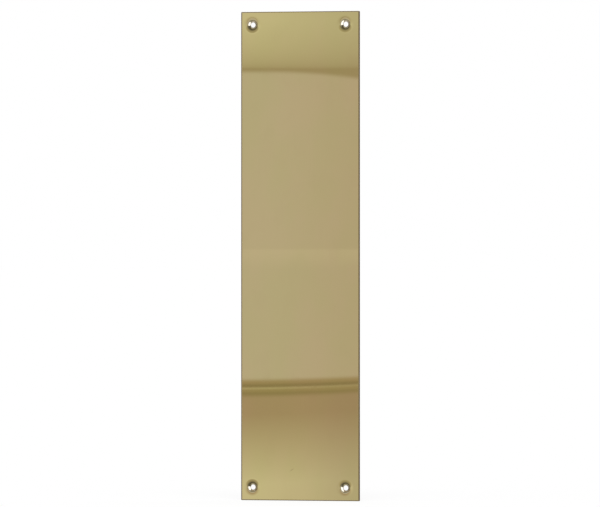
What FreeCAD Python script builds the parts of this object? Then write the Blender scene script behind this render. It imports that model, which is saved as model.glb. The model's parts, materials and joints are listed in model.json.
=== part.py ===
import FreeCAD, Part
import os
import Sketcher

# A plain finger plate for a door: one flat piece of polished brass sheet with a countersunk
# screw hole near each corner. Millimetres. The back face, which lies against the door, is on
# the XZ plane with its centre at the origin. +Z runs up the door and the polished face looks
# along -Y.

# Driving dimensions: the name of each, its value and what it measures.
DIMENSIONS = [
    ("plate_length", 300.0, "height of the plate on the door"),
    ("plate_width", 75.0, "width across the door"),
    ("plate_thickness", 2.5, "thickness of the brass sheet"),
    ("corner_radius", 0.5, "corners of the blank, just taken off with a file"),
    ("face_edge_radius", 0.35, "edge of the polished face, rounded by the buffing wheel"),
    ("back_edge_break", 0.15, "edge of the back face, with the burr taken off"),
    ("left_hole_margin", 7.2, "left edge of the plate to the middle of a screw hole"),
    ("right_hole_margin", 8.8, "right edge of the plate to the middle of a screw hole"),
    ("end_hole_margin", 8.0, "top or bottom edge of the plate to the middle of a screw hole"),
    ("bore_diameter", 3.2, "clearance hole for the screw's shank"),
    ("countersink_diameter", 6.4, "mouth of the countersink, before its rim is buffed"),
    ("countersink_angle", 90.0, "full angle of the countersink, in degrees"),
    ("countersink_rim_radius", 1.7, "rim of the countersink, rounded by the buffing wheel"),
]
SHEET_NAME = "Dimensions"
PARTS_FOLDER = "parts"

# Two levels closer than this count as the same plane.
NEAR = 1e-4


def size(alias):
    """The expression that reads one driving dimension."""
    return f"{SHEET_NAME}.{alias}"


def make_sheet(doc):
    """The spreadsheet that holds the driving dimensions, one to a row."""
    sheet = doc.addObject("Spreadsheet::Sheet", SHEET_NAME)
    for row, (alias, value, meaning) in enumerate(DIMENSIONS, start=1):
        sheet.set(f"A{row}", alias)
        sheet.set(f"B{row}", str(value))
        sheet.setAlias(f"B{row}", alias)
        sheet.set(f"C{row}", meaning)
    doc.recompute()
    return sheet


def attach_to_back(body, sketch):
    """Lays a sketch on the body's own XZ plane, where the back face is."""
    plane = next(f for f in body.Origin.OriginFeatures if f.Role == "XZ_Plane")
    sketch.AttachmentSupport = (plane, [""])
    sketch.MapMode = "FlatFace"


def constrain(sketch, name, expression, *constraint):
    """Adds a dimension to a sketch, names it and binds it to the spreadsheet."""
    index = sketch.addConstraint(Sketcher.Constraint(*constraint))
    sketch.renameConstraint(index, name)
    sketch.setExpression(f"Constraints.{name}", expression)


def origin_point():
    """The origin of a sketch, as its constraints name it."""
    return (-1, 1)


def start_of(line):
    """The first end of a line in a sketch."""
    return (line, 1)


def end_of(line):
    """The second end of a line in a sketch."""
    return (line, 2)


def middle_of(circle):
    """The middle of a circle in a sketch."""
    return (circle, 3)


def make_blank(doc, body, sheet):
    """The guillotined blank: a centred rectangle as thick as the sheet."""
    sketch = body.newObject("Sketcher::SketchObject", "BlankOutline")
    attach_to_back(body, sketch)
    width = sheet.plate_width
    length = sheet.plate_length
    corners = [(-1, -1), (1, -1), (1, 1), (-1, 1)]
    points = [FreeCAD.Vector(x * width / 2, z * length / 2, 0) for x, z in corners]
    lines = [Part.LineSegment(a, b) for a, b in zip(points, points[1:] + points[:1])]
    sides = sketch.addGeometry(lines, False)
    bottom, right, top, left = sides
    for one, other in zip(sides, sides[1:] + sides[:1]):
        sketch.addConstraint(Sketcher.Constraint("Coincident", *end_of(one), *start_of(other)))
    for side in (bottom, top):
        sketch.addConstraint(Sketcher.Constraint("Horizontal", side))
    for side in (left, right):
        sketch.addConstraint(Sketcher.Constraint("Vertical", side))
    opposite = (*start_of(bottom), *start_of(top))
    sketch.addConstraint(Sketcher.Constraint("Symmetric", *opposite, *origin_point()))
    across = (*start_of(bottom), *end_of(bottom))
    along = (*start_of(right), *end_of(right))
    constrain(sketch, "width", size("plate_width"), "DistanceX", *across, width)
    constrain(sketch, "length", size("plate_length"), "DistanceY", *along, length)

    blank = body.newObject("PartDesign::Pad", "Blank")
    blank.Profile = sketch
    blank.setExpression("Length", size("plate_thickness"))
    doc.recompute()
    return blank


def keep_inside(sketch, name, kind, point, way, edge, margin):
    """Keeps a point of a sketch a margin inside an edge of the plate, on the side that way gives."""
    expression = f"{size(edge)} / 2 - {size(margin)}"
    run = (*origin_point(), *point) if way > 0 else (*point, *origin_point())
    reach = sketch.evalExpression(expression)
    constrain(sketch, name, expression, kind, *run, reach)


def make_holes(doc, body, sheet):
    """The four screw holes, drilled through from the polished face and countersunk there."""
    sketch = body.newObject("Sketcher::SketchObject", "HoleCentres")
    attach_to_back(body, sketch)
    sketch.setExpression("AttachmentOffset.Base.z", size("plate_thickness"))
    rise = sheet.plate_length / 2 - sheet.end_hole_margin
    axis = FreeCAD.Vector(0, 0, 1)
    circles = []
    for side, way_x in [("left", -1), ("right", 1)]:
        margin = f"{side}_hole_margin"
        reach = sheet.plate_width / 2 - sheet.get(margin)
        for end, way_z in [("low", -1), ("high", 1)]:
            place = FreeCAD.Vector(way_x * reach, way_z * rise, 0)
            circle = sketch.addGeometry(Part.Circle(place, axis, sheet.bore_diameter / 2), False)
            point = middle_of(circle)
            hole = f"{side}_{end}"
            keep_inside(sketch, f"{hole}_x", "DistanceX", point, way_x, "plate_width", margin)
            keep_inside(sketch, f"{hole}_z", "DistanceY", point, way_z, "plate_length", "end_hole_margin")
            circles.append(circle)
    for circle in circles[1:]:
        sketch.addConstraint(Sketcher.Constraint("Equal", circles[0], circle))
    constrain(sketch, "bore", size("bore_diameter"), "Diameter", circles[0], sheet.bore_diameter)
    doc.recompute()

    holes = body.newObject("PartDesign::Hole", "ScrewHoles")
    holes.Profile = sketch
    doc.recompute()
    holes.Threaded = False
    holes.DepthType = "ThroughAll"
    holes.HoleCutType = "Countersink"
    holes.HoleCutCustomValues = True
    holes.setExpression("Diameter", size("bore_diameter"))
    holes.setExpression("HoleCutDiameter", size("countersink_diameter"))
    holes.setExpression("HoleCutCountersinkAngle", size("countersink_angle"))
    doc.recompute()
    return holes


def on_plane(edge, level):
    """Whether an edge lies in the plane at that Y."""
    box = edge.BoundBox
    return abs(box.YMin - level) < NEAR and abs(box.YMax - level) < NEAR


def spans(edge, low, high):
    """Whether an edge runs straight through the sheet from one face to the other."""
    box = edge.BoundBox
    straight = isinstance(edge.Curve, (Part.Line, Part.LineSegment))
    return straight and abs(box.YMin - low) < NEAR and abs(box.YMax - high) < NEAR


def is_ring(edge):
    """Whether an edge is a whole circle, as the rim of a hole is."""
    return isinstance(edge.Curve, Part.Circle) and edge.isClosed()


def dress_edges(doc, body, kind, name, base, chosen, radius):
    """Rounds or chamfers the edges of the last feature that the test in chosen picks."""
    names = [f"Edge{i}" for i, edge in enumerate(base.Shape.Edges, start=1) if chosen(edge)]
    feature = body.newObject(kind, name)
    feature.Base = (base, names)
    feature.setExpression("Size" if kind.endswith("Chamfer") else "Radius", radius)
    doc.recompute()
    return feature


def make_plate(doc, sheet):
    """The whole finger plate, from blank to buffed edges."""
    body = doc.addObject("PartDesign::Body", "FingerPlate")
    body.Label = "finger_plate"
    fillet, chamfer = "PartDesign::Fillet", "PartDesign::Chamfer"
    face = -sheet.plate_thickness
    back = 0.0

    blank = make_blank(doc, body, sheet)
    dress_edges(
        doc, body, fillet, "Corners", blank, lambda e: spans(e, face, back), size("corner_radius")
    )
    holes = make_holes(doc, body, sheet)
    rims = dress_edges(
        doc, body, fillet, "BuffedRims", holes,
        lambda e: on_plane(e, face) and is_ring(e), size("countersink_rim_radius"),
    )
    face_edge = dress_edges(
        doc, body, fillet, "BuffedFaceEdge", rims,
        lambda e: on_plane(e, face) and not is_ring(e), size("face_edge_radius"),
    )
    dress_edges(
        doc, body, chamfer, "BackEdgeBreak", face_edge,
        lambda e: on_plane(e, back) and not is_ring(e), size("back_edge_break"),
    )
    return body


def check(doc, bodies):
    """Stops the script if a feature failed or a piece is not a sound solid."""
    for thing in doc.Objects:
        if {"Invalid", "Error"} & set(thing.State):
            raise RuntimeError(f"{thing.Label} failed: {thing.State}")
    for body in bodies:
        if body.Shape.isNull() or not body.Shape.isValid() or len(body.Shape.Solids) != 1:
            raise RuntimeError(f"{body.Label} is not one valid solid")


def main():
    doc = FreeCAD.newDocument("FingerPlateDoc")
    sheet = make_sheet(doc)
    bodies = [make_plate(doc, sheet)]
    check(doc, bodies)
    os.makedirs(PARTS_FOLDER, exist_ok=True)
    for body in bodies:
        body.Shape.exportStep(os.path.join(PARTS_FOLDER, f"{body.Label}.step"))
        box = body.Shape.optimalBoundingBox(False, False)
        print(
            f"{body.Label}: {box.XLength:.2f} x {box.YLength:.2f} x {box.ZLength:.2f} mm,"
            f" {body.Shape.Volume:.1f} mm3"
        )


main()
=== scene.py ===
# %% [markdown]
# # A polished brass finger plate
#
# A finger plate is a piece of brass sheet that is screwed to a door where hands push it, so that the paint
# stays clean. This one is plain: a flat rectangle, buffed to a mirror, with a countersunk hole near each
# corner. Nothing hides its surface, so the lesson is about three things: a mesh that reflects cleanly,
# finishes that tell buffed, cut, turned and rolled brass apart, and a tent of paper for it to mirror.
#
# The CAD model is loaded first. It is the frame: everything is in metres and goes where the CAD says.

# %% Load the frame
import json
import math

import bmesh
import bpy
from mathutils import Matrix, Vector, noise


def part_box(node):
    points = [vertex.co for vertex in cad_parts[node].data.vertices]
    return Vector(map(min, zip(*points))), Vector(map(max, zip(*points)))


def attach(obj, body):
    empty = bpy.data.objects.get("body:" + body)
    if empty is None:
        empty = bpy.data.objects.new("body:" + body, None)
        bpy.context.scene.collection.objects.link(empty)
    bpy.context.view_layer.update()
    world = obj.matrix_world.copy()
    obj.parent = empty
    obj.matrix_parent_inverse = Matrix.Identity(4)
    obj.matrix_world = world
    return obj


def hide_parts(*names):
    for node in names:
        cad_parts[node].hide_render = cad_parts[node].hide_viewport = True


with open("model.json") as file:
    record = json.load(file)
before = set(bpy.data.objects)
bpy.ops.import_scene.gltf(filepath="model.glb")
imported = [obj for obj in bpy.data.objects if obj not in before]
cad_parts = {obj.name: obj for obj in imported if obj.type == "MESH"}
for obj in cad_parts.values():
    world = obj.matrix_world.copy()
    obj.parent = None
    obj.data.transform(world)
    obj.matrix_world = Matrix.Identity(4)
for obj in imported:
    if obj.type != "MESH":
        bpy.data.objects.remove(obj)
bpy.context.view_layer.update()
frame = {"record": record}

MM = 0.001

# %% [markdown]
# ## Sizes
#
# The width, length and thickness are read from the CAD node, and the places of the holes from the mount
# that the record gives for the screws. The few sizes that neither of them holds, such as the radius of a
# buffed edge, are given here.

# %% Read the sizes
low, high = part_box("finger_plate")
half_width = high.x
half_length = high.z
thickness = high.y - low.y

screw_holes = next(m for m in frame["record"]["mounts"] if m["name"] == "screw_holes")
pattern_x = screw_holes["pos_m"][0]
hole_reach_x = screw_holes["dims"]["spacing_x_mm"] / 2 * MM
hole_reach_z = screw_holes["dims"]["spacing_y_mm"] / 2 * MM
bore_radius = screw_holes["dims"]["hole_r_mm"] * MM
hole_columns = [pattern_x - hole_reach_x, pattern_x + hole_reach_x]
hole_rows = [-hole_reach_z, hole_reach_z]

CORNER_RADIUS = 0.5 * MM
FACE_EDGE_RADIUS = 0.35 * MM
BACK_EDGE_BREAK = 0.15 * MM
COUNTERSINK_RADIUS = 3.2 * MM
COUNTERSINK_SLOPE = math.radians(45)
RIM_RADIUS = 1.7 * MM

print(f"plate {2 * half_width / MM:.1f} x {thickness / MM:.1f} x {2 * half_length / MM:.1f} mm")
print("hole columns and rows in mm:", [round(line / MM, 1) for line in hole_columns + hole_rows])

# %% [markdown]
# ## The grid of the sheet
#
# A mirror shows every fault of the mesh under it. A flat face cut by four round holes would usually be
# made with a boolean, but that leaves long thin triangles which smear a reflection as soon as the face is
# bent. So both faces are laid out as a grid of even quads, and each hole gets a square of closer lines,
# which its rings can grow out of.
#
# The sheet's core is the rectangle between the centres of its rounded corners. The lines run over the core
# here, and what lies outside it is added when a face is made.

# %% Lay out the grid lines
CELL = 1.5 * MM
HALF_SQUARE = 6 * MM
SQUARE_CELLS = 24

core_x = half_width - CORNER_RADIUS
core_z = half_length - CORNER_RADIUS


def grid_lines(core, centres):
    """Grid lines from one side of the core to the other, closer where they cross the square of a hole."""
    sides = [centre + way * HALF_SQUARE for centre in centres for way in (-1, 1)]
    stops = [-core, *sides, core]
    lines = []
    for i, (start, end) in enumerate(zip(stops, stops[1:])):
        in_square = i % 2 == 1
        count = SQUARE_CELLS if in_square else max(1, round((end - start) / CELL))
        lines += [start + (end - start) * k / count for k in range(count)]
    return lines + [core]


columns = grid_lines(core_x, hole_columns)
rows = grid_lines(core_z, hole_rows)
print(f"{len(columns)} lines across, {len(rows)} lines up")

# %% [markdown]
# ## The two faces
#
# The real blank was cut with a guillotine and its corners were just taken off with a file. A grid has
# square corners, so the cells outside the core are bent: the formula below turns a square into a quarter
# of a disc and keeps its lines evenly spread. The same formula serves the polished face and the back, which
# reach out from the core by different amounts.

# %% Bend the corners of a face
CORNER_STEPS = [1 / 3, 2 / 3, 1]


def nearest_core(x, z):
    """The point of the core that lies nearest."""
    return max(-core_x, min(core_x, x)), max(-core_z, min(core_z, z))


def at_depth(x, z, depth):
    """A point that deep below the polished face."""
    return Vector((x, depth - thickness, z))


def bent_corner(x, z, reach, depth):
    """A grid point of a face that reaches that far outside the core, with its corners bent round."""
    cx, cz = nearest_core(x, z)
    u, v = (x - cx) / reach, (z - cz) / reach
    bent_x = cx + reach * u * math.sqrt(1 - v * v / 2)
    bent_z = cz + reach * v * math.sqrt(1 - u * u / 2)
    return at_depth(bent_x, bent_z, depth)


def face_points(reach, depth):
    """Rows of points over one whole face of the sheet."""
    def spread(lines):
        before = [lines[0] - reach * step for step in reversed(CORNER_STEPS)]
        after = [lines[-1] + reach * step for step in CORNER_STEPS]
        return before + lines + after

    return [[bent_corner(x, z, reach, depth) for x in spread(columns)] for z in spread(rows)]


polished_face = face_points(CORNER_RADIUS - FACE_EDGE_RADIUS, 0)
back_face = face_points(CORNER_RADIUS - BACK_EDGE_BREAK, thickness)
print(f"{len(polished_face) * len(polished_face[0])} points on each face")

# %% [markdown]
# ## The edge all round
#
# The buffing wheel rounds the edge of the polished face, and a file takes the burr off the back. Both are
# far below a millimetre, but an edge with no radius never catches the light and looks drawn. A bevel
# modifier would do it on a plain box. Here the border of the polished face is swept outwards along its own
# normal instead, so that the edge meets both grids point for point.

# %% Sweep the border round the edge
QUARTER_TURN = math.radians(90)
EDGE_STEPS = 6
SIDE_STEPS = 3


def bend(radius, start, end, steps):
    """How far, along and down, the points of a round edge lie as it turns from one slope to another."""
    turns = [start + (end - start) * k / steps for k in range(1, steps + 1)]
    return [
        (radius * (math.sin(turn) - math.sin(start)), radius * (math.cos(start) - math.cos(turn)))
        for turn in turns
    ]


def border_of(face):
    """The outermost points of a face, in order round it."""
    left = [row[0] for row in face]
    right = [row[-1] for row in face]
    return face[0][:-1] + right[:-1] + face[-1][:0:-1] + left[:0:-1]


def pushed_out(point, reach, depth):
    """A border point moved straight out, until it lies that far outside the core."""
    cx, cz = nearest_core(point.x, point.z)
    way = Vector((point.x - cx, 0, point.z - cz)).normalized()
    return at_depth(cx + way.x * reach, cz + way.z * reach, depth)


flat_reach = CORNER_RADIUS - FACE_EDGE_RADIUS
edge_profile = [(flat_reach, 0)]
for out, down in bend(FACE_EDGE_RADIUS, 0, QUARTER_TURN, EDGE_STEPS):
    edge_profile.append((flat_reach + out, down))
side_height = thickness - FACE_EDGE_RADIUS - BACK_EDGE_BREAK
for k in range(1, SIDE_STEPS + 1):
    edge_profile.append((CORNER_RADIUS, FACE_EDGE_RADIUS + side_height * k / SIDE_STEPS))
edge_profile.append((CORNER_RADIUS - BACK_EDGE_BREAK, thickness))

border = border_of(polished_face)
edge_rows = [[pushed_out(point, reach, depth) for point in border] for reach, depth in edge_profile]
print(f"{len(edge_rows)} rows of {len(border)} points round the edge")

# %% [markdown]
# ## The profile of a hole
#
# Each hole is drilled through, countersunk for a screw's head and then buffed with the face. The wheel dips
# a little into the mouth, so the face sinks very slightly before it turns over the rim. That soft dip is
# what gives a hole in buffed brass its dark halo. Cutting a cone out with a boolean would leave a sharp rim
# and no dip, so the profile is written down instead, as radii and depths: the dip, the rounded rim, the
# cone and the straight land of the bore.

# %% Work out the profile
DIP_RADIUS = 22 * MM
DIP_SLOPE = math.radians(5.5)
DIP_STEPS = 6
RIM_STEPS = 8
CONE_STEPS = 6
LAND_STEPS = 2

dip = bend(DIP_RADIUS, 0, DIP_SLOPE, DIP_STEPS)
rim = bend(RIM_RADIUS, DIP_SLOPE, COUNTERSINK_SLOPE, RIM_STEPS)
turned_in = dip[-1][0] + rim[-1][0]
turned_down = dip[-1][1] + rim[-1][1]
dip_start = COUNTERSINK_RADIUS - turned_down + turned_in
rim_start = dip_start - dip[-1][0]
cone_start = dip_start - turned_in
cone_height = cone_start - bore_radius

hole_profile = [(dip_start, 0)]
hole_profile += [(dip_start - inwards, down) for inwards, down in dip]
hole_profile += [(rim_start - inwards, dip[-1][1] + down) for inwards, down in rim]
for k in range(1, CONE_STEPS + 1):
    fall = cone_height * k / CONE_STEPS
    hole_profile.append((cone_start - fall, turned_down + fall))
land_top = hole_profile[-1][1]
for k in range(1, LAND_STEPS + 1):
    hole_profile.append((bore_radius, land_top + (thickness - land_top) * k / LAND_STEPS))
print(f"mouth {2 * dip_start / MM:.2f} mm wide, land {(thickness - land_top) / MM:.2f} mm high")

# %% [markdown]
# ## The rings of a hole
#
# A hole is a stack of rings with the same number of points in each. The first ring is the square in the
# grid, the next ones change step by step into a circle, and the rest follow the profile of the cut down to
# the back, where they open into a square again. Round the mouth and round the bore a narrow ring stays flat,
# so that smooth shading doesn't bleed out of the hole.

# %% Turn the holes
OPEN_STEPS = 3
CLOSE_STEPS = 6
FLAT_RING = 0.12 * MM
FIRST_CORNER = math.radians(-135)


def hole_ring(x, z, radius, depth, squareness=0.0):
    """One ring of a hole: a circle, or part of the way to the square that the grid leaves for it."""
    points = []
    for side in range(4):
        for k in range(SQUARE_CELLS):
            step = 2 * k / SQUARE_CELLS - 1
            flat = [(step, -1), (1, step), (-step, 1), (-1, -step)][side]
            turn = FIRST_CORNER + QUARTER_TURN * (side + k / SQUARE_CELLS)
            px = radius * math.cos(turn) * (1 - squareness) + HALF_SQUARE * flat[0] * squareness
            pz = radius * math.sin(turn) * (1 - squareness) + HALF_SQUARE * flat[1] * squareness
            points.append(at_depth(x + px, z + pz, depth))
    return points


def hole_rings(x, z):
    """All the rings of one hole, from the square on the polished face to the square on the back."""
    opening = [1 - k / OPEN_STEPS for k in range(OPEN_STEPS + 1)]
    mouth = [hole_ring(x, z, dip_start + FLAT_RING, 0, squareness) for squareness in opening]
    cut = [hole_ring(x, z, radius, depth) for radius, depth in hole_profile]
    closing = [k / CLOSE_STEPS for k in range(CLOSE_STEPS + 1)]
    behind = [hole_ring(x, z, bore_radius + FLAT_RING, thickness, squareness) for squareness in closing]
    return mouth + cut + behind


holes = [hole_rings(hole_x, hole_z) for hole_x in hole_columns for hole_z in hole_rows]
print(f"{len(holes)} holes of {len(holes[0])} rings, {len(holes[0][0])} points in a ring")

# %% [markdown]
# ## One closed skin
#
# Every part so far is rows of points, so one function can clad them all. Points that lie on each other are
# welded afterwards, which joins the faces, the edge and the holes into one closed skin. The count of open
# edges tells whether that worked: it has to be 0.

# %% Clad the rows and weld them
WELD = 0.001 * MM


def clad(skin, rows_of_points, ring=False, leave_out=None):
    """Lays quads between rows of points. The quads whose middle is left out are skipped."""
    made = [[skin.verts.new(point) for point in row] for row in rows_of_points]
    for one, other in zip(made, made[1:]):
        if ring:
            one, other = one + one[:1], other + other[:1]
        for corners in zip(one, one[1:], other[1:], other):
            middle = (corners[0].co + corners[2].co) / 2
            if leave_out is None or not leave_out(middle):
                skin.faces.new(corners)


def in_hole_square(point):
    """Whether a point of a face lies in the square that a hole takes up."""
    in_column = any(abs(point.x - x) < HALF_SQUARE for x in hole_columns)
    in_row = any(abs(point.z - z) < HALF_SQUARE for z in hole_rows)
    return in_column and in_row


skin = bmesh.new()
for face in (polished_face, back_face):
    clad(skin, face, leave_out=in_hole_square)
clad(skin, edge_rows, ring=True)
for rings in holes:
    clad(skin, rings, ring=True)
bmesh.ops.delete(skin, geom=[v for v in skin.verts if not v.link_faces], context="VERTS")
bmesh.ops.remove_doubles(skin, verts=skin.verts, dist=WELD)
bmesh.ops.recalc_face_normals(skin, faces=skin.faces)
open_edges = sum(1 for edge in skin.edges if not edge.is_manifold)
print(f"{len(skin.faces)} faces, {open_edges} open edges")

# %% [markdown]
# ## The wave of the sheet
#
# Buffed sheet is never quite flat. A wave of a few hundredths of a millimetre is enough to bend a straight
# line that it mirrors, as the real plate does. It goes into the mesh and not into a bump map, because a
# slope of a thousandth is too small for the eight bits of a picture. The wave is full on the polished face
# and dies out towards the back, which lies flat on the door.

# %% Wave the face
WAVE_LENGTH = 55 * MM
WAVE_DEPTH = 0.03 * MM
WAVE_SLICE = 0.4


def wave(x, z):
    """How far the buffed face is below a true flat."""
    bumps = noise.noise(Vector((x / WAVE_LENGTH, WAVE_SLICE, z / WAVE_LENGTH)))
    return WAVE_DEPTH * (bumps + 1) / 2


for vert in skin.verts:
    share = -vert.co.y / thickness
    vert.co.y += wave(vert.co.x, vert.co.z) * share
print(f"the skin holds {skin.calc_volume() / MM ** 3:.0f} mm3")

# %% [markdown]
# ## The piece
#
# The skin becomes one object, which stands for the CAD node and rides on the only body there is. Shading is
# smooth over the round edges, and edges that turn by more than the angle below stay crisp.

# %% Make the plate
CRISP_ANGLE = math.radians(30)

plate_mesh = bpy.data.meshes.new("brass_plate")
skin.to_mesh(plate_mesh)
skin.free()
plate_mesh.shade_smooth()
plate_mesh.set_sharp_from_angle(angle=CRISP_ANGLE)
plate = bpy.data.objects.new("brass_plate", plate_mesh)
bpy.context.scene.collection.objects.link(plate)
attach(plate, "root")
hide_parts("finger_plate")
print(f"{plate.name}: {len(plate_mesh.polygons)} faces")

# %% [markdown]
# ## Writing shaders as sums
#
# A finish is a sum of masks and patterns. In the node editor it would be a long chain of Math nodes, and it
# reads better as a line of arithmetic. A Wire stands for a socket, and a sign between two Wires adds the
# Math node that works it out.

# %% Wires
class Wire:
    """An output socket that can be used in a Python expression."""

    def __init__(self, finish, socket):
        self.finish = finish
        self.socket = socket

    def other(self, name):
        """Another output of the same node."""
        return Wire(self.finish, self.socket.node.outputs[name])

    def math(self, operation, *values):
        """A Math node on these values."""
        return self.finish.node("ShaderNodeMath", {"operation": operation}, dict(enumerate(values)))

    def __add__(self, value):
        return self.math("ADD", self, value)

    def __radd__(self, value):
        return self.math("ADD", value, self)

    def __sub__(self, value):
        return self.math("SUBTRACT", self, value)

    def __rsub__(self, value):
        return self.math("SUBTRACT", value, self)

    def __mul__(self, value):
        return self.math("MULTIPLY", self, value)

    def __rmul__(self, value):
        return self.math("MULTIPLY", value, self)

    def __truediv__(self, value):
        return self.math("DIVIDE", self, value)

    def __pow__(self, value):
        return self.math("POWER", self, value)

    def __neg__(self):
        return self.math("MULTIPLY", self, -1.0)

    def __abs__(self):
        return self.math("ABSOLUTE", self)

    def lesser(self, value):
        """The smaller of two values."""
        return self.math("MINIMUM", self, value)

    def greater(self, value):
        """The larger of two values."""
        return self.math("MAXIMUM", self, value)


print("a Wire knows + - * / ** and abs")

# %% [markdown]
# Every other node comes from the one method of Finish: its kind, then its settings, then what its sockets
# hold or are linked to. The brass is the first finish, and it starts with no nodes at all.

# %% Finishes
class Finish:
    """The nodes of a material or a world."""

    def __init__(self, owner):
        owner.use_nodes = True
        self.owner = owner
        self.tree = owner.node_tree
        self.tree.nodes.clear()

    def node(self, kind, settings=None, sockets=None, output=0):
        """Adds a node. Sockets go by name, identifier or number, and hold a value or a Wire."""
        made = self.tree.nodes.new(kind)
        for name, value in (settings or {}).items():
            setattr(made, name, value)
        for key, value in (sockets or {}).items():
            socket = pick(made.inputs, key)
            if isinstance(value, Wire):
                self.tree.links.new(value.socket, socket)
            else:
                socket.default_value = value
        return Wire(self, pick(made.outputs, output)) if made.outputs else None


def pick(sockets, key):
    """A socket by its number, identifier or name."""
    if isinstance(key, int):
        return sockets[key]
    by_identifier = [socket for socket in sockets if socket.identifier == key]
    return by_identifier[0] if by_identifier else sockets[key]


brass = Finish(bpy.data.materials.new("brass_finishes"))
print(f"{brass.owner.name}: {len(brass.tree.nodes)} nodes so far")

# %% [markdown]
# ## Where each finish lies
#
# The plate is one piece of brass, so it has one material, but four tools have been at it: the buffing wheel
# on the face, the guillotine on the edges, the countersink in the holes and the rolling mill on the back.
# Vertex groups could mark these places. Masks worked out from the position are finer, and they bake well.
#
# The film on the edges, which is partly painted shade, creeps a little way onto the face, further on the
# left side than on the right.

# %% Mask the outline and the back
# where the edge film and its painted shade lie
FILM_AND_SHADE_EDGE = (0.3 * MM, 0.75 * MM)
FILM_AND_SHADE_LEAN = 0.14 * MM
END_FILM_AND_SHADE_NARROWING = 1.15
BACK_EDGE = (-0.3 * MM, -0.1 * MM)


def fade(value, start, end):
    """Rises smoothly from 0 to 1 as a value goes from start to end."""
    settings = {"interpolation_type": "SMOOTHSTEP"}
    return value.finish.node(
        "ShaderNodeMapRange", settings, {"Value": value, "From Min": start, "From Max": end}
    )


place = brass.node("ShaderNodeTexCoord", output="Object")
plate_x = brass.node("ShaderNodeSeparateXYZ", None, {"Vector": place}, "X")
plate_y = plate_x.other("Y")
plate_z = plate_x.other("Z")

from_side = half_width - abs(plate_x - FILM_AND_SHADE_LEAN)
from_end = (half_length - abs(plate_z)) * END_FILM_AND_SHADE_NARROWING
cut_edge = 1 - fade(from_side.lesser(from_end), *FILM_AND_SHADE_EDGE)
rolled_back = fade(plate_y, *BACK_EDGE)
print("masks: cut_edge, rolled_back")

# %% [markdown]
# The holes lie evenly about the middle of their pattern, so the distance from the nearest one follows from
# the position folded over both middle lines. The countersink, the buffed rim and the bore are rings of that
# distance.

# %% Mask the holes
SINK_OVERLAP = 0.2 * MM
RIM_EDGE = (rim_start - 0.9 * MM, rim_start - 0.1 * MM)
BORE_EDGE = (bore_radius + 0.01 * MM, bore_radius + 0.08 * MM)


def slant(across, up):
    """The length of the slanting side over two sides at a right angle."""
    return (across * across + up * up) ** 0.5


from_hole = slant(abs(plate_x - pattern_x) - hole_reach_x, abs(plate_z) - hole_reach_z)
in_front = 1 - rolled_back
countersink = in_front * (1 - fade(from_hole, cone_start - SINK_OVERLAP, rim_start))
buffed_rim = in_front * fade(from_hole, cone_start - SINK_OVERLAP, cone_start)
buffed_rim = buffed_rim * (1 - fade(from_hole, *RIM_EDGE))
bore = 1 - fade(from_hole, *BORE_EDGE)
print("masks: countersink, buffed_rim, bore")

# %% [markdown]
# ## The buffed face
#
# New brass is a pale gold. Under a lacquer or after some handling it clouds very slightly, towards rose in
# some places and towards green in others, a thin haze dulls it here and there, and the wheel leaves
# hairlines that only show as a faint silkiness. One flat colour would be simpler, but it looks like plastic
# as soon as the reflection is plain. All of this is kept very weak: on a mirror, a little goes a long way.

# %% Mix the patterns of the face
CLOUD_GRAIN = (28, 28, 16)
CLOUD_DETAIL = 3.0
CLOUD_RANGE = (0.35, 0.65)
HAIRLINE_GRAIN = (2600, 2600, 45)
HAZE_GRAIN = (70, 70, 55)
HAZE_DETAIL = 4.0
HAZE_RANGE = (0.5, 0.8)


def grain(spots, stretch, detail=2.0):
    """A noise pattern with that many grains to the metre along each axis."""
    sockets = {0: spots, 1: stretch}
    stretched = spots.finish.node("ShaderNodeVectorMath", {"operation": "MULTIPLY"}, sockets)
    sockets = {"Vector": stretched, "Scale": 1.0, "Detail": detail}
    return spots.finish.node("ShaderNodeTexNoise", None, sockets, "Fac")


clouds = fade(grain(place, CLOUD_GRAIN, CLOUD_DETAIL), *CLOUD_RANGE)
hairlines = grain(place, HAIRLINE_GRAIN)
haze = fade(grain(place, HAZE_GRAIN, HAZE_DETAIL), *HAZE_RANGE)
print(f"a cloud is about {1 / CLOUD_GRAIN[0] / MM:.0f} mm wide")
print(f"a hairline is about {1 / HAIRLINE_GRAIN[2] / MM:.0f} mm long")

# %% [markdown]
# A Math node turns a colour grey, so colours are laid over each other with Mix nodes. Where the haze or a
# hairline lies, the brass is a little duller and rougher. The hairlines also have a depth, in millimetres.

# %% Paint the face
ROSY_BRASS = (0.815, 0.655, 0.355)
GREEN_BRASS = (0.785, 0.66, 0.335)
DULL_BRASS = (0.72, 0.58, 0.30)
HAIRLINE_TINT = 0.12
HAZE_TINT = 0.2
FACE_ROUGHNESS = 0.026
HAIRLINE_ROUGHNESS = 0.01
HAZE_ROUGHNESS = 0.012
HAIRLINE_DEPTH = 0.0002


def paint(colour):
    """A colour as a socket wants it: a Wire as it is, and a red, green and blue with a full alpha."""
    return colour if isinstance(colour, Wire) else (*colour, 1.0)


def blend(mask, under, over):
    """One colour laid over another where the mask is 1."""
    sockets = {"Factor_Float": mask, "A_Color": paint(under), "B_Color": paint(over)}
    return mask.finish.node("ShaderNodeMix", {"data_type": "RGBA"}, sockets, "Result_Color")


face_colour = blend(clouds, ROSY_BRASS, GREEN_BRASS)
face_colour = blend(hairlines * HAIRLINE_TINT + haze * HAZE_TINT, face_colour, DULL_BRASS)
face_roughness = FACE_ROUGHNESS + HAIRLINE_ROUGHNESS * hairlines + HAZE_ROUGHNESS * haze
face_height = hairlines * HAIRLINE_DEPTH
print("the buffed face has clouds, hairlines and a thin haze")

# %% [markdown]
# ## The scuff
#
# A small scuff lies near the bottom of the real plate, where something once dragged across it. It is a
# short slanting stroke, worked out in coordinates that run along and across it.

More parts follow.
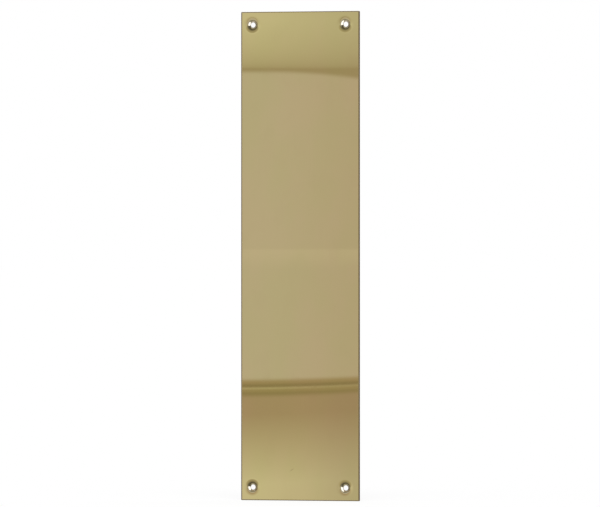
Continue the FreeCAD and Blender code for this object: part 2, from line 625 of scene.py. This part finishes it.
# %% Add the scuff
SCUFF_X = -5.1 * MM
SCUFF_Z = -131.2 * MM
SCUFF_SLANT = math.radians(36)
SCUFF_HALF_LENGTH = 2.2 * MM
SCUFF_HALF_WIDTH = 0.45 * MM
SCUFFED_BRASS = (0.55, 0.43, 0.22)
SCUFF_TINT = 0.7
SCUFF_ROUGHNESS = 0.1

scuff_x = plate_x - SCUFF_X
scuff_z = plate_z - SCUFF_Z
along = scuff_x * math.cos(SCUFF_SLANT) + scuff_z * math.sin(SCUFF_SLANT)
across = scuff_z * math.cos(SCUFF_SLANT) - scuff_x * math.sin(SCUFF_SLANT)
scuff = (1 - fade(abs(along), 0, SCUFF_HALF_LENGTH)) * (1 - fade(abs(across), 0, SCUFF_HALF_WIDTH))

face_colour = blend(scuff * SCUFF_TINT, face_colour, SCUFFED_BRASS)
face_roughness = face_roughness + SCUFF_ROUGHNESS * scuff
print(f"scuff {2 * SCUFF_HALF_LENGTH / MM:.1f} mm long")

# %% [markdown]
# ## The cut edges
#
# The wheel never reaches the edges, which keep the drag marks of the guillotine. A brown film of old polish
# has dried on them, and its colour is darkened further with painted shade, so that from the front it draws a
# dark line round the plate. The film is more dirt than metal, so it is hardly metallic and quite rough.

# %% Paint the edges
# the film colours are darker than the film alone, as painted shade on the edges
BROWN_FILM_AND_SHADE = (0.185, 0.13, 0.066)
DARK_FILM_AND_SHADE = (0.13, 0.092, 0.044)
FILM_METALLIC = 0.2
DRAG_GRAIN = (5000, 250, 5000)
DRAG_DETAIL = 3.0
EDGE_ROUGHNESS = 0.55
DRAG_ROUGHNESS = 0.2
DRAG_DEPTH = 0.002

drag_marks = grain(place, DRAG_GRAIN, DRAG_DETAIL)
edge_colour = blend(drag_marks, BROWN_FILM_AND_SHADE, DARK_FILM_AND_SHADE)
edge_roughness = EDGE_ROUGHNESS + DRAG_ROUGHNESS * drag_marks
edge_height = drag_marks * DRAG_DEPTH
print(f"a drag mark is about {1 / DRAG_GRAIN[1] / MM:.0f} mm long")

# %% [markdown]
# ## The countersinks
#
# The cutter leaves new metal with fine rings. The countersinks are paler than the face, partly as bright new
# metal and partly as a painted highlight, which lets the flashes on their walls show white. A wave texture
# would make rings that are all alike. Here they are noise in two coordinates, the distance from the middle
# of the hole and the depth, so they are as uneven as real ones and run truly round.

# %% Paint the countersinks
# the pale sink colour is partly a painted highlight
SINK_BRASS_AND_HIGHLIGHT = (0.93, 0.88, 0.77)
SINK_DARK = (0.82, 0.76, 0.63)
SINK_RANGE = (0.3, 0.8)
CUTTER_GRAIN = (9000, 9000, 1)
SINK_ROUGHNESS = 0.05
CUTTER_ROUGHNESS = 0.05
CUTTER_DEPTH = 0.0012

round_hole = brass.node("ShaderNodeCombineXYZ", None, {"X": from_hole, "Y": plate_y})
cutter_rings = grain(round_hole, CUTTER_GRAIN)
sink_colour = blend(fade(cutter_rings, *SINK_RANGE), SINK_BRASS_AND_HIGHLIGHT, SINK_DARK)
sink_roughness = SINK_ROUGHNESS + CUTTER_ROUGHNESS * cutter_rings
sink_height = cutter_rings * CUTTER_DEPTH
print(f"a ring of the cutter is about {1 / CUTTER_GRAIN[0] / MM:.2f} mm wide")

# %% [markdown]
# ## The back
#
# Nobody polishes the side that lies on the door. It is as it left the rolling mill: dull, with long rolling
# lines and the brown patches that bare brass gets behind a door plate.

# %% Paint the back
BACK_BRASS = (0.60, 0.48, 0.25)
BACK_BROWN = (0.34, 0.24, 0.12)
ROLLING_GRAIN = (900, 900, 9)
ROLLING_DETAIL = 4.0
PATCH_GRAIN = (30, 30, 22)
PATCH_DETAIL = 5.0
PATCH_RANGE = (0.45, 0.7)
ROLLING_TINT = 0.25
PATCH_TINT = 0.4
BACK_ROUGHNESS = 0.3
ROLLING_ROUGHNESS = 0.15
PATCH_ROUGHNESS = 0.12
ROLLING_DEPTH = 0.004
PATCH_DEPTH = 0.002

rolling_lines = grain(place, ROLLING_GRAIN, ROLLING_DETAIL)
patches = fade(grain(place, PATCH_GRAIN, PATCH_DETAIL), *PATCH_RANGE)
back_colour = blend(patches * PATCH_TINT + rolling_lines * ROLLING_TINT, BACK_BRASS, BACK_BROWN)
back_roughness = BACK_ROUGHNESS + ROLLING_ROUGHNESS * rolling_lines + PATCH_ROUGHNESS * patches
back_height = rolling_lines * ROLLING_DEPTH + patches * PATCH_DEPTH
print(f"a rolling line is about {1 / ROLLING_GRAIN[2] / MM:.0f} mm long")

# %% [markdown]
# ## Laying the finishes over each other
#
# Four materials on four sets of faces would meet in hard lines. With the masks, the finishes run into each
# other as on the real plate: the back and the cut edge are laid over the face, then the countersinks. Last
# comes a darkening, a little in the rims and more in the bores: partly the polish that dries where the cloth
# can't reach, and partly painted shade in these hollows.

# %% Lay the finishes
RIM_POLISH_AND_SHADE = (0.40, 0.34, 0.18)
RIM_POLISH_AND_SHADE_TINT = 0.4
BORE_POLISH_AND_SHADE_TINT = 0.6


def lay(mask, under, over):
    """One value laid over another where the mask is 1."""
    return under + (over - under) * mask


brass_colour = blend(rolled_back, face_colour, back_colour)
brass_colour = blend(cut_edge, brass_colour, edge_colour)
brass_colour = blend(countersink, brass_colour, sink_colour)
# dried polish and painted shade darken the rims, and the bores more
brass_colour = blend(buffed_rim * RIM_POLISH_AND_SHADE_TINT, brass_colour, RIM_POLISH_AND_SHADE)
brass_colour = blend(bore * BORE_POLISH_AND_SHADE_TINT, brass_colour, DARK_FILM_AND_SHADE)

brass_roughness = lay(rolled_back, face_roughness, back_roughness)
brass_roughness = lay(cut_edge, brass_roughness, edge_roughness)
brass_roughness = lay(countersink, brass_roughness, sink_roughness)
print("colour and roughness are laid from back, edge, countersinks and polish")

# %% [markdown]
# One bump carries the marks of all four finishes, in millimetres. Everything is metal but the film on the
# edges and in the bores, which has hardly any shine of its own.

# %% Assemble the brass
FILM_SHINE = 0.1

marks = lay(rolled_back, face_height, back_height)
marks = lay(cut_edge, marks, edge_height)
marks = lay(countersink, marks, sink_height)
sockets = {"Height": marks, "Strength": 1.0, "Distance": MM}
relief = brass.node("ShaderNodeBump", None, sockets, "Normal")

metal = brass.node("ShaderNodeBsdfPrincipled", None, {
    "Base Color": brass_colour,
    "Metallic": lay(cut_edge.greater(bore), 1.0, FILM_METALLIC),
    "Roughness": brass_roughness,
    "Specular IOR Level": FILM_SHINE,
    "Normal": relief,
})
brass.node("ShaderNodeOutputMaterial", None, {"Surface": metal})
plate_mesh.materials.append(brass.owner)
print(f"{brass.owner.name}: {len(brass.tree.nodes)} nodes")

# %% [markdown]
# ## The camera
#
# The plate is turned a little to the left, so its right edge shows as a thin strip. Its sides are almost
# parallel in the picture, which means a long lens from far off. The distance follows from how much taller
# the near side looks than the far one.

# %% Set the camera
PHOTO_WIDTH = 600
PHOTO_HEIGHT = 507
PLATE_TALL_PIXELS = 488.9
PLATE_AT_PIXEL = (300.95, 256.05)
CAMERA_TURN = math.radians(15.4)
NEAR_SIDE_GROWTH = 0.0047
SENSOR_MM = 36

pixel = 2 * half_length / PLATE_TALL_PIXELS
camera_distance = 2 * half_width * math.sin(CAMERA_TURN) / NEAR_SIDE_GROWTH
to_camera = Vector((math.sin(CAMERA_TURN), -math.cos(CAMERA_TURN), 0))
to_right = Vector((math.cos(CAMERA_TURN), math.sin(CAMERA_TURN), 0))
move_right = (PHOTO_WIDTH / 2 - PLATE_AT_PIXEL[0]) * pixel
move_up = (PLATE_AT_PIXEL[1] - PHOTO_HEIGHT / 2) * pixel

camera_data = bpy.data.cameras.new("camera")
camera_data.sensor_width = SENSOR_MM
camera_data.lens = SENSOR_MM * camera_distance / (PHOTO_WIDTH * pixel)
camera = bpy.data.objects.new("camera", camera_data)
camera.location = to_camera * camera_distance + to_right * move_right + Vector((0, 0, move_up))
camera.rotation_euler = (QUARTER_TURN, 0, CAMERA_TURN)
bpy.context.scene.collection.objects.link(camera)
bpy.context.scene.camera = camera
print(f"camera {camera_distance:.2f} m away with a {camera_data.lens:.0f} mm lens")

# %% [markdown]
# ## The white room
#
# The background is plain white and the floor pale. The world is white to the camera and to reflections and
# a little weaker as light, because a sun adds the rest. The world isn't sampled as a lamp: an even white
# needs no aiming.

# %% Light the room
WHITE = (1.0, 1.0, 1.0)
ROOM_LIGHT = 0.72


def looked_at(finish):
    """1 for what the camera looks at, also in a mirror or through glass, and 0 for what only gives light."""
    rays = finish.node("ShaderNodeLightPath", output="Is Camera Ray")
    return rays.greater(rays.other("Is Glossy Ray")).greater(rays.other("Is Transmission Ray"))


room = Finish(bpy.data.worlds.new("white_room"))
lighting = room.node("ShaderNodeBackground", None, {"Color": paint(WHITE), "Strength": ROOM_LIGHT})
backdrop = room.node("ShaderNodeBackground", None, {"Color": paint(WHITE), "Strength": 1.0})
mixed = room.node("ShaderNodeMixShader", None, {0: looked_at(room), 1: lighting, 2: backdrop})
room.node("ShaderNodeOutputWorld", None, {"Surface": mixed})
room.owner.cycles.sampling_method = "NONE"
bpy.context.scene.world = room.owner
print(f"room light {ROOM_LIGHT}")

# %% [markdown]
# A soft sun from the front brings the light up to the level at which a colour shows as it is written. An
# area lamp would fall off over the floor, and a sun doesn't. Reflections don't see it, because it would be a
# hard spot in a mirror.

# %% Hang the sun
SUN_LIGHT = 0.34
SUN_HEIGHT = math.radians(62)
SUN_SOFTNESS = math.radians(25)

sun_data = bpy.data.lights.new("soft_sun", "SUN")
sun_data.energy = SUN_LIGHT * math.pi / math.sin(SUN_HEIGHT)
sun_data.angle = SUN_SOFTNESS
sun = bpy.data.objects.new("soft_sun", sun_data)
sun.rotation_euler = (QUARTER_TURN - SUN_HEIGHT, 0, CAMERA_TURN)
sun.visible_glossy = False
bpy.context.scene.collection.objects.link(sun)
print(f"sun light {SUN_LIGHT}, {math.degrees(SUN_HEIGHT):.0f} degrees high")

# %% [markdown]
# ## The floor
#
# The floor is a wide pale disc that the plate stands on. It is mostly white to the camera and keeps the
# shadow of the plate, and its far edge is lost in the white of the room. Reflections see the floor of the
# paper tent instead of it.

# %% Lay the floor
FLOOR_RADIUS = 60
FLOOR_SIDES = 64
FLOOR_COLOUR = (0.95, 0.95, 0.95)
FLOOR_WHITE = 0.85

bpy.ops.mesh.primitive_circle_add(
    vertices=FLOOR_SIDES, radius=FLOOR_RADIUS, fill_type="NGON", location=(0, 0, -half_length)
)
floor = bpy.context.object
floor.name = "floor"
pale = Finish(bpy.data.materials.new("pale_floor"))
matt = pale.node("ShaderNodeBsdfDiffuse", None, {"Color": paint(FLOOR_COLOUR)})
bright = pale.node("ShaderNodeEmission", None, {"Color": paint(WHITE), "Strength": 1.0})
mixed = pale.node("ShaderNodeMixShader", None, {0: looked_at(pale) * FLOOR_WHITE, 1: matt, 2: bright})
pale.node("ShaderNodeOutputMaterial", None, {"Surface": mixed})
pale.owner.cycles.emission_sampling = "NONE"
floor.data.materials.append(pale.owner)
floor.visible_glossy = False
print(f"floor at z = {floor.location.z / MM:.0f} mm")

# %% [markdown]
# ## The paper tent
#
# What a mirror looks like is what stands in front of it. Polished brass in an empty white room is a blank
# pale sheet, so a shiny plate is set in a tent of grey paper. This one is a drum with a floor and a lid.
# Only reflections see it: the camera, the soft light and the shadows pass through. The paper glows by
# itself:
# its colours are painted light and shade, and no lamp lights it.

# %% Cut the tent
TENT_RADIUS = 300 * MM
TENT_HALF_HEIGHT = 170 * MM
TENT_SIDES = 128

bpy.ops.mesh.primitive_cylinder_add(vertices=TENT_SIDES, radius=TENT_RADIUS, depth=2 * TENT_HALF_HEIGHT)
tent = bpy.context.object
tent.name = "paper_tent"
tent.visible_camera = False
tent.visible_diffuse = False
tent.visible_shadow = False
print(f"tent {2 * TENT_RADIUS / MM:.0f} mm wide and {2 * TENT_HALF_HEIGHT / MM:.0f} mm high")

# %% [markdown]
# The bands that the real plate mirrors are painted on the wall of the tent. Their heights are given as the
# heights on the plate at which the camera sees them. The bands draw together a little towards the right, as
# the real ones do, and the lower ones start to do so further left.

# %% Measure the wall
PULL = 0.026
PULL_LIMIT = 1.5
UPPER_PULL_FROM = -97 * MM
UPPER_PULL_WIDTH = 46 * MM
LOWER_PULL_FROM = -124 * MM
LOWER_PULL_WIDTH = 80 * MM


def climb(value, start, length, limit=1.0):
    """Rises evenly from 0 at the start, by 1 over each length, up to the limit."""
    return ((value - start) / length).greater(0).lesser(limit)


paper = Finish(bpy.data.materials.new("tent_paper"))
spot = paper.node("ShaderNodeNewGeometry", output="Position")
tent_x = paper.node("ShaderNodeSeparateXYZ", None, {"Vector": spot}, "X")
tent_y = tent_x.other("Y")
tent_z = tent_x.other("Z")

mirror_scale = 1 + TENT_RADIUS / camera_distance
level_height = tent_z / mirror_scale
upper_pull = climb(tent_x, UPPER_PULL_FROM, UPPER_PULL_WIDTH, PULL_LIMIT)
lower_pull = climb(tent_x, LOWER_PULL_FROM, LOWER_PULL_WIDTH, PULL_LIMIT)
height = level_height * (1 + PULL * upper_pull * upper_pull)
below = -level_height * (1 + PULL * lower_pull * lower_pull)
print(f"1 mm on the plate mirrors {mirror_scale:.3f} mm of the wall")

# %% [markdown]
# In the middle the plate mirrors plain grey paper, and at its top and foot a paler one. Both are a little
# darker towards the right.

# %% Shade the paper
PAPER = (0.570, 0.571, 0.570)
PAPER_SHADE = (0.545, 0.526, 0.518)
PAPER_TURN = (-106 * MM, -32 * MM)
PALE_PAPER = (0.685, 0.715, 0.64)
PALE_PAPER_SHADE = (0.583, 0.594, 0.538)
PALE_PAPER_TURN = (-130 * MM, -30 * MM)

plain_paper = blend(fade(tent_x, *PAPER_TURN), PAPER, PAPER_SHADE)
pale_paper = blend(fade(tent_x, *PALE_PAPER_TURN), PALE_PAPER, PALE_PAPER_SHADE)
print("plain and pale paper, both shaded to the right")

# %% [markdown]
# Low down, the plate mirrors a dark slot, which is a painted band of shadow with a brown lip, and a thin
# pale batten in it, which is a painted highlight. Below that is a brown shelf, which turns into pale paper
# towards the foot. Cards could be hung in the tent for them.
# Painted bands are easier to shift by a fraction of a millimetre, and their borders can be as soft as the
# real ones.

# %% Paint the lower bands
# the slot and its lip are painted shadow, and the batten is a painted highlight
SLOT_LIP_SHADE = (0.40, 0.348, 0.247)
SLOT_LIP_EDGE = (74.6 * MM, 77.5 * MM)
SLOT_SHADOW = (0.29, 0.26, 0.17)
SLOT_EDGE = (77.6 * MM, 79.7 * MM)
SLOT_LOWER_SHADE = (0.372, 0.336, 0.221)
SLOT_LOWER_EDGE = (80.6 * MM, 81.8 * MM)
SLOT_FOOT_SHADE = (0.32, 0.29, 0.19)
SLOT_FOOT_EDGE = (83.0 * MM, 84.1 * MM)
BATTEN_HIGHLIGHT = (0.53, 0.51, 0.40)
BATTEN_TOP = (80.25 * MM, 81.0 * MM)
BATTEN_FOOT = (81.3 * MM, 82.2 * MM)
BATTEN_STRENGTH = 0.95
BATTEN_LOSS = 0.31
SHELF = (0.44, 0.38, 0.32)
SHELF_EDGE = (84.2 * MM, 87.4 * MM)
FOOT_FROM = 97 * MM
FOOT_FALL = 43 * MM
DIM_ROOM = (0.045, 0.032, 0.012)
FOOT_DIM = 0.08
FOOT_DIM_EDGE = (-80 * MM, -45 * MM)

# paint the slot's shadow bands, then the batten's highlight
wall = blend(fade(below, *SLOT_LIP_EDGE), plain_paper, SLOT_LIP_SHADE)
wall = blend(fade(below, *SLOT_EDGE), wall, SLOT_SHADOW)
wall = blend(fade(below, *SLOT_LOWER_EDGE), wall, SLOT_LOWER_SHADE)
wall = blend(fade(below, *SLOT_FOOT_EDGE), wall, SLOT_FOOT_SHADE)
batten = fade(below, *BATTEN_TOP) * (1 - fade(below, *BATTEN_FOOT))
wall = blend(batten * (BATTEN_STRENGTH - BATTEN_LOSS * upper_pull), wall, BATTEN_HIGHLIGHT)
shelf = fade(below, *SHELF_EDGE)
wall = blend(shelf, wall, SHELF)
wall = blend(climb(below, FOOT_FROM, FOOT_FALL), wall, pale_paper)
wall = blend(shelf * fade(tent_x, *FOOT_DIM_EDGE) * FOOT_DIM, wall, DIM_ROOM)
print("lower bands: lip, slot, batten and shelf")

# %% [markdown]
# Higher up there is a dark edge with pale paper over it. Just above the middle, a crease in the paper
# catches the light: it starts sharply and dies out downwards.

# %% Paint the upper bands
EDGE_SHADE = (0.40, 0.37, 0.29)
UPPER_EDGE = (111.2 * MM, 114.5 * MM)
TOP_FROM = 115 * MM
TOP_RISE = 30 * MM
TOP_CURVE = 0.38
CREASE_TOP = (-4.3 * MM, -3.9 * MM)
CREASE_FOOT = (-3 * MM, 10 * MM)
CREASE_STRENGTH = 0.075
CREASE_GAIN = 0.015

upper_edge = fade(height, *UPPER_EDGE)
wall = blend(upper_edge, wall, EDGE_SHADE)
towards_top = climb(level_height, TOP_FROM, TOP_RISE) ** TOP_CURVE
wall = blend(upper_edge * towards_top, wall, pale_paper)
crease = fade(below, *CREASE_TOP) * (1 - fade(below, *CREASE_FOOT))
wall = blend(crease * (CREASE_STRENGTH + CREASE_GAIN * upper_pull), wall, WHITE)
print("upper bands: dark edge and crease")

# %% [markdown]
# The bands only go part of the way round. The two sides are dim, and so are the lid and the floor close to
# the plate, so that the buffed edges and the countersinks have something dark to mirror as well.

# %% Dim the sides, the lid and the floor
DIM_SIDE = (0.24, 0.205, 0.13)
SIDE_TURN = (0.36, 0.88)
LID_FRONT = (0.50, 0.49, 0.40)
LID_REACH = 290 * MM
LID_CURVE = 0.6
LID_EDGE = (TENT_HALF_HEIGHT - 1.0 * MM, TENT_HALF_HEIGHT - 0.5 * MM)
WALL_END = (161 * MM, TENT_HALF_HEIGHT)

wall = blend(fade(abs(tent_z), *WALL_END), wall, LID_FRONT)
faces_plate = fade(abs(tent_y) / slant(tent_x, tent_y), *SIDE_TURN)
shade = blend(faces_plate, DIM_SIDE, wall)
lid = blend(climb(abs(tent_y), 0, LID_REACH) ** LID_CURVE, DIM_ROOM, LID_FRONT)
shade = blend(fade(abs(tent_z), *LID_EDGE), shade, lid)
print(f"the lid and the floor get paler up to {LID_REACH / MM:.0f} mm in front of the plate")

# %% [markdown]
# ## The strip light
#
# The countersinks of the real plate flash white on their left walls. A wall at 45 degrees that faces right
# mirrors what stands beside the plate and just in front of it, so that is where a narrow strip of the tent
# is lit from behind. A lamp there would also light the plate, and a strip of bright paper doesn't. It runs
# up the side and a little way over the floor and the lid, and its borders are soft. From the camera's side
# the flat face can't mirror it.

# %% Light a strip of the tent
STRIP_GLOW = (1.5, 1.5, 1.5)
STRIP_FRONT = (math.cos(math.radians(69)), math.cos(math.radians(60)))
STRIP_BACK = (math.cos(math.radians(86)), math.cos(math.radians(80)))
STRIP_END = (30 * MM, 110 * MM)
STRIP_STAND_OFF = (22 * MM, 38 * MM)

facing = -tent_y / slant(tent_x - hole_columns[0], tent_y)
strip = (1 - fade(facing, *STRIP_FRONT)) * fade(facing, *STRIP_BACK)
strip = strip * fade(tent_x, *STRIP_END) * fade(-tent_y, *STRIP_STAND_OFF)
shade = blend(strip, shade, STRIP_GLOW)

# the tent's paper glows with its painted light and shade
glow = paper.node("ShaderNodeEmission", None, {"Color": shade, "Strength": 1.0})
paper.node("ShaderNodeOutputMaterial", None, {"Surface": glow})
paper.owner.cycles.emission_sampling = "NONE"
tent.data.materials.append(paper.owner)
print(f"{paper.owner.name}: {len(paper.tree.nodes)} nodes")

# %% [markdown]
# ## The view
#
# The picture is shown as it is, with the plain Standard view.

# %% Show the picture as it is
bpy.context.scene.view_settings.view_transform = "Standard"
